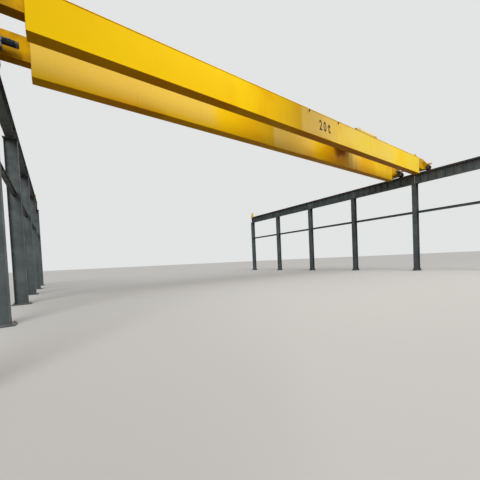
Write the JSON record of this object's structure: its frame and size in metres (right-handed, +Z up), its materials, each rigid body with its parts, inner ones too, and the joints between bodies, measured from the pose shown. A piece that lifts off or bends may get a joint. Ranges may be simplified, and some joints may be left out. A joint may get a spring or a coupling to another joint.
{
  "type": "double girder overhead crane",
  "caption": "Double girder overhead travelling crane: box girders on end trucks, a hoist trolley on top, and a raised runway of beams on columns.",
  "frame": {"origin": "on the ground, in the middle of the runway's footprint", "axes": "+X along the girders across the hall, +Y along the runway towards its far end, +Z up"},
  "size_m": [29.24, 36.56, 10.58],
  "materials": {
    "crane_paint": "yellow gloss enamel",
    "runway_paint": "dark grey matt paint",
    "rail_steel": "rusty rolled steel",
    "trolley_rail_steel": "worn rolled steel",
    "wheel_steel": "dark forged steel",
    "bearing_iron": "black painted casting",
    "buffer_rubber": "black moulded rubber",
    "buffer_foam": "cream cellular polyurethane",
    "machine_paint": "dark grey machine paint",
    "deck_steel": "yellow chequered plate",
    "drum_steel": "greased steel",
    "rope_wire": "greased wire rope"
  },
  "bodies": {
    "runway": {"columns_left": "runway_paint", "columns_right": "runway_paint", "runway_beams_left": "runway_paint", "runway_beams_right": "runway_paint", "runway_rail_left": "rail_steel", "runway_rail_right": "rail_steel", "runway_stop_left_front": "runway_paint", "runway_stop_left_rear": "runway_paint", "runway_stop_right_front": "runway_paint", "runway_stop_right_rear": "runway_paint", "runway_struts_left": "runway_paint", "runway_struts_right": "runway_paint"},
    "bridge": {"bearing_boxes_left": "bearing_iron", "bearing_boxes_right": "bearing_iron", "buffer_arms_left": "crane_paint", "buffer_arms_right": "crane_paint", "girder_front_bottom_flange": "crane_paint", "girder_front_top_flange": "crane_paint", "girder_front_webs": "crane_paint", "girder_heads_left": "crane_paint", "girder_heads_right": "crane_paint", "girder_rear_bottom_flange": "crane_paint", "girder_rear_top_flange": "crane_paint", "girder_rear_webs": "crane_paint", "travel_buffers_left": "buffer_foam", "travel_buffers_right": "buffer_foam", "travel_gearbox_left": "machine_paint", "travel_gearbox_right": "machine_paint", "travel_motor_left": "machine_paint", "travel_motor_right": "machine_paint", "travel_wheels_left": "wheel_steel", "travel_wheels_right": "wheel_steel", "trolley_rail_front": "trolley_rail_steel", "trolley_rail_rear": "trolley_rail_steel", "trolley_stops_left": "crane_paint", "trolley_stops_right": "crane_paint", "truck_tie_left": "crane_paint", "truck_tie_right": "crane_paint", "trucks_left": "crane_paint", "trucks_right": "crane_paint"},
    "trolley": {"drum_pedestal": "crane_paint", "equaliser_bracket": "crane_paint", "equaliser_sheave": "wheel_steel", "hoist_brake": "bearing_iron", "hoist_drum": "drum_steel", "hoist_gearbox": "machine_paint", "hoist_motor": "machine_paint", "hoist_rope": "rope_wire", "hook": "bearing_iron", "hook_block": "crane_paint", "hook_block_sheaves": "wheel_steel", "trolley_buffers": "buffer_rubber", "trolley_cross_beams": "crane_paint", "trolley_decks": "deck_steel", "trolley_drive": "machine_paint", "trolley_side_frames": "crane_paint", "trolley_wheels": "wheel_steel"}
  },
  "joints": [
    {"name": "bridge_travel", "type": "slide", "parent": "runway", "child": "bridge", "axis": [0, 1, 0], "range_m": [-10.55, 21.53]},
    {"name": "trolley_travel", "type": "slide", "parent": "bridge", "child": "trolley", "axis": [1, 0, 0], "range_m": [-16.765, 6.365]}
  ]
}
